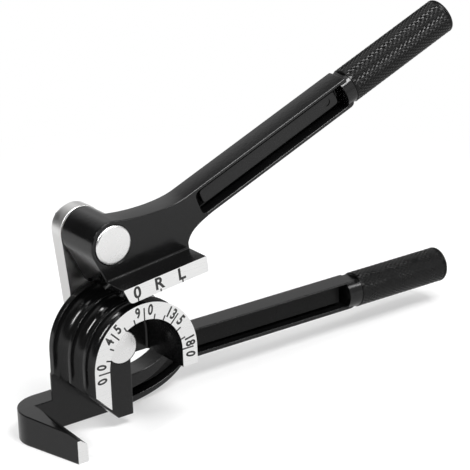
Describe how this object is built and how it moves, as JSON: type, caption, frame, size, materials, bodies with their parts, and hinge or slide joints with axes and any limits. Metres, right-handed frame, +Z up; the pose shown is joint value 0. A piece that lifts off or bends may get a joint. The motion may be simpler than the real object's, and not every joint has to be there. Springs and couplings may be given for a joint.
{
  "type": "tube bender",
  "caption": "Hand tube bender with a grooved half-round former, a swinging grooved shoe and two knurled handles.",
  "frame": {"origin": "on the flat base under the bend axis, at the middle of the lower handle's thickness", "axes": "+X from the hook to the grips, +Y from the scale face to the back, +Z up"},
  "size_m": [0.2118, 0.0441, 0.1395],
  "materials": {
    "black_casting": "die-cast body with a smooth semi-gloss black coat, ground bright on the scale faces",
    "black_knurl": "diamond knurl, blackened",
    "bright_steel": "bright nickel-plated steel",
    "spring_steel": "dark oiled spring steel"
  },
  "bodies": {
    "former": {"former_handle": "black_casting", "former_pin": "bright_steel", "former_pin_shim": "bright_steel", "former_pin_wave_washer": "spring_steel", "former_pin_washer": "bright_steel", "former_pin_clip": "spring_steel", "lower_grip": "black_knurl", "lower_grip_roll_pin": "spring_steel"},
    "link": {"link_plate": "bright_steel", "shoe_pin": "bright_steel", "shoe_pin_shim": "bright_steel", "shoe_pin_wave_washer": "spring_steel", "shoe_pin_washer": "bright_steel", "shoe_pin_clip": "spring_steel"},
    "shoe": {"shoe_handle": "black_casting", "upper_grip": "black_knurl", "upper_grip_roll_pin": "spring_steel"}
  },
  "joints": [
    {"name": "link_swing", "type": "hinge", "parent": "former", "child": "link", "pos_m": [0, 0, 0.0332], "axis": [0, 1, 0], "range_deg": [-83.7, 96]},
    {"name": "handle_pivot", "type": "hinge", "parent": "link", "child": "shoe", "pos_m": [-0.00493, 0, 0.07783], "axis": [0, 1, 0], "range_deg": [-100, 10]}
  ]
}
